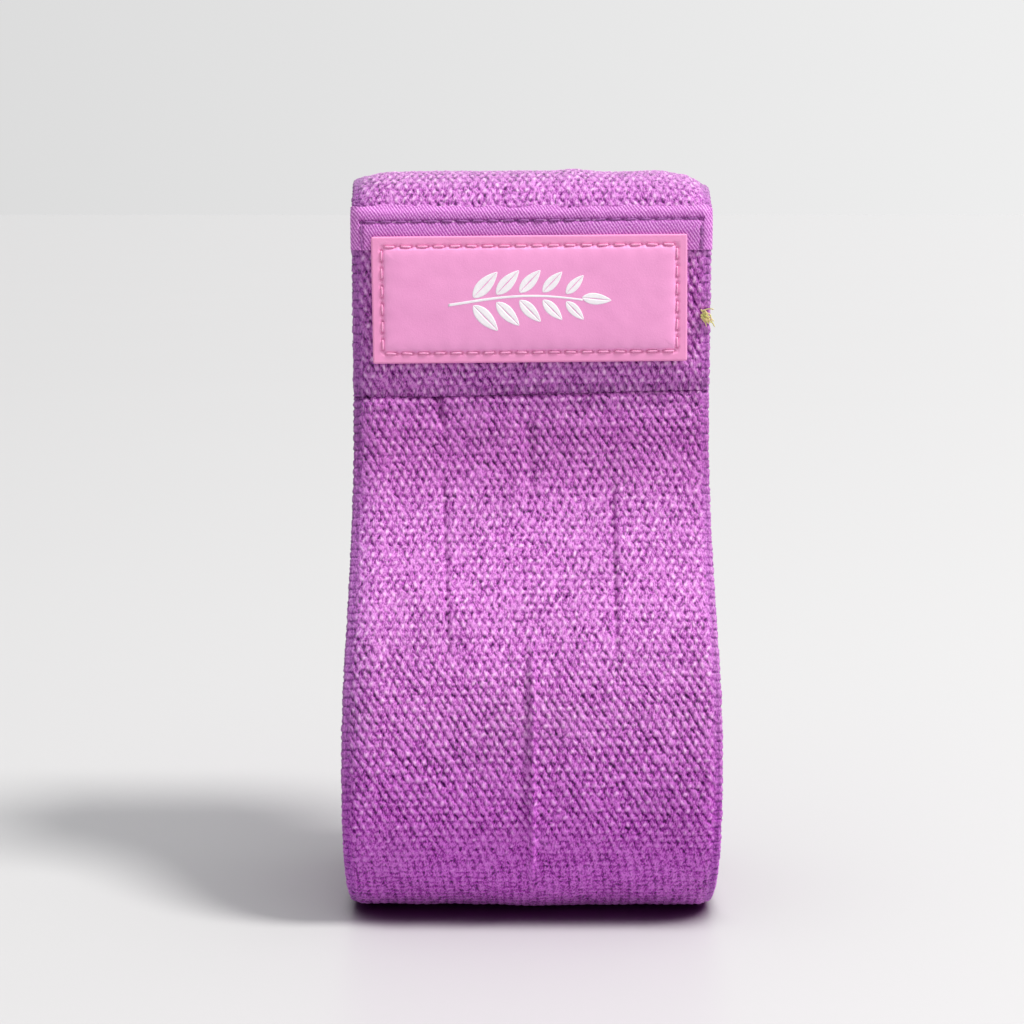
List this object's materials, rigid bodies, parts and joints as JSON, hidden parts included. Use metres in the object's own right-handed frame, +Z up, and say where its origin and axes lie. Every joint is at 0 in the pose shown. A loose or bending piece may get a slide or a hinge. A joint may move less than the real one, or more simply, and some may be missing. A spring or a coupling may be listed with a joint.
{
  "type": "fabric resistance band",
  "caption": "Wide woven elastic loop band, folded in half to stand on its fold, with a sewn joint, satin tape and a padded pink label; the fold opens and the elastic stretches.",
  "frame": {"origin": "middle of the flat patch of the fold that the band rests on", "axes": "X across the width of the band, -Y towards the label side, +Z up"},
  "size_m": [0.0821, 0.0744, 0.16],
  "materials": {
    "webbing": "ribbed woven elastic, orchid purple, slightly fuzzy",
    "grip_rubber": "thin soft rubber strip, matt",
    "satin_tape": "fine diagonal satin twill, slightly glossy",
    "label_leather": "coated pink fabric, flat rim, satin",
    "label_leather_pad": "coated pink fabric, padded, satin",
    "label_print": "white print, slightly raised",
    "pink_thread": "twisted sewing thread",
    "purple_thread": "twisted sewing thread",
    "loose_thread": "loose yellow-green fibre ends"
  },
  "bodies": {
    "fold_base": {"fold_outer_patch": "webbing", "fold_inner_patch": "webbing", "fold_grip_strips": "grip_rubber", "front_bend_outer": "webbing", "front_bend_inner": "webbing", "front_bend_grips": "grip_rubber", "back_bend_outer": "webbing", "back_bend_inner": "webbing", "back_bend_grips": "grip_rubber"},
    "front_arm": {"front_leg_outer": "webbing", "front_leg_inner": "webbing", "front_leg_grips": "grip_rubber", "front_span_outer": "webbing", "front_span_inner": "webbing", "front_span_grips": "grip_rubber"},
    "front_end": {"label_end_loop": "webbing", "overlap_ply": "webbing", "label_end_grips": "grip_rubber", "reinforcing_tape": "satin_tape", "label_backing": "label_leather", "label_pad": "label_leather_pad", "label_motif": "label_print", "label_stitching": "pink_thread", "tape_stitching": "purple_thread", "joint_seam_stitching": "purple_thread", "thread_tuft": "loose_thread"},
    "back_arm": {"back_leg_outer": "webbing", "back_leg_inner": "webbing", "back_leg_grips": "grip_rubber", "back_span_outer": "webbing", "back_span_inner": "webbing", "back_span_grips": "grip_rubber"},
    "back_end": {"back_end_loop": "webbing", "back_end_grips": "grip_rubber"}
  },
  "joints": [
    {"name": "front_unfold", "type": "hinge", "parent": "fold_base", "child": "front_arm", "pos_m": [0, -0.024, 0.016], "axis": [1, 0, 0], "range_deg": [0, 103], "stiffness_Nm_per_rad": 0.03, "deforming": ["front_bend_outer", "front_bend_inner", "front_bend_grips"]},
    {"name": "back_unfold", "type": "hinge", "parent": "fold_base", "child": "back_arm", "pos_m": [0, 0.024, 0.016], "axis": [-1, 0, 0], "range_deg": [0, 88], "stiffness_Nm_per_rad": 0.03, "deforming": ["back_bend_outer", "back_bend_inner", "back_bend_grips"]},
    {"name": "front_stretch", "type": "slide", "parent": "front_arm", "child": "front_end", "axis": [0, 0, 1], "range_m": [0, 0.035], "stiffness_N_per_m": 1500, "deforming": ["front_span_outer", "front_span_inner", "front_span_grips"]},
    {"name": "back_stretch", "type": "slide", "parent": "back_arm", "child": "back_end", "axis": [0, 0.4802, 0.8771], "range_m": [0, 0.035], "stiffness_N_per_m": 1500, "deforming": ["back_span_outer", "back_span_inner", "back_span_grips"]}
  ]
}
